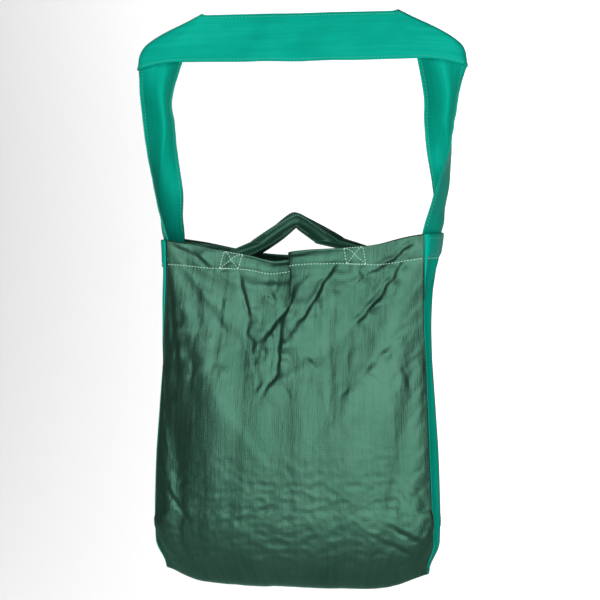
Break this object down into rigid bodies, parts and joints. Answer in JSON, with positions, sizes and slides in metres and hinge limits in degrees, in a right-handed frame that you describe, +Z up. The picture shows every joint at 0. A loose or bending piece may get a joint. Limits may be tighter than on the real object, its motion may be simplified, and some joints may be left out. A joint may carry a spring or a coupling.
{
  "type": "rope storage bag",
  "caption": "Soft open-topped nylon rope bag with contrasting side gussets, a wide shoulder sling from gusset to gusset and short carry handles box-stitched inside the hem.",
  "frame": {"origin": "middle of the underside of the sling's top run, where the hung bag rests on a hook, branch stub or shoulder", "axes": "+Z up along the hanging bag, +X along the sling's top run and the front panel's width, -Y out of the front panel"},
  "size_m": [0.5104, 0.112, 0.8219],
  "materials": {
    "panel_nylon": "dark green satin-coated nylon, soft wide gloss, crinkled",
    "band_nylon": "teal green plain-weave nylon, low sheen",
    "thread": "pale green twisted polyester thread"
  },
  "bodies": {
    "sling_loop": {"sling": "band_nylon", "sling_lower_edge_stitch": "thread", "sling_upper_edge_stitch": "thread"},
    "front_grip": {"front_handle": "panel_nylon", "front_handle_stitch": "thread"},
    "back_grip": {"back_handle": "panel_nylon", "back_handle_stitch": "thread"},
    "bag_body": {"main_panel": "panel_nylon", "left_gusset": "band_nylon", "right_gusset": "band_nylon", "left_sling_end": "band_nylon", "right_sling_end": "band_nylon", "left_sling_seam_stitch": "thread", "right_sling_seam_stitch": "thread", "front_left_handle_end": "panel_nylon", "front_right_handle_end": "panel_nylon", "back_left_handle_end": "panel_nylon", "back_right_handle_end": "panel_nylon", "front_left_box_stitch": "thread", "front_right_box_stitch": "thread", "back_left_box_stitch": "thread", "back_right_box_stitch": "thread", "front_hem_stitch": "thread", "back_hem_stitch": "thread", "left_hem_stitch": "thread", "right_hem_stitch": "thread", "front_left_seam_stitch": "thread", "front_right_seam_stitch": "thread", "back_left_seam_stitch": "thread", "back_right_seam_stitch": "thread"}
  },
  "joints": [
    {"name": "bag_swing", "type": "hinge", "parent": "sling_loop", "child": "bag_body", "pos_m": [0, 0, -0.25], "axis": [1, 0, 0], "range_deg": [-90, 90]},
    {"name": "front_handle_fold", "type": "hinge", "parent": "bag_body", "child": "front_grip", "pos_m": [0, -0.0337, -0.25], "axis": [1, 0, 0], "range_deg": [-30, 165]},
    {"name": "back_handle_fold", "type": "hinge", "parent": "bag_body", "child": "back_grip", "pos_m": [0, 0.0337, -0.25], "axis": [-1, 0, 0], "range_deg": [-30, 165]}
  ]
}
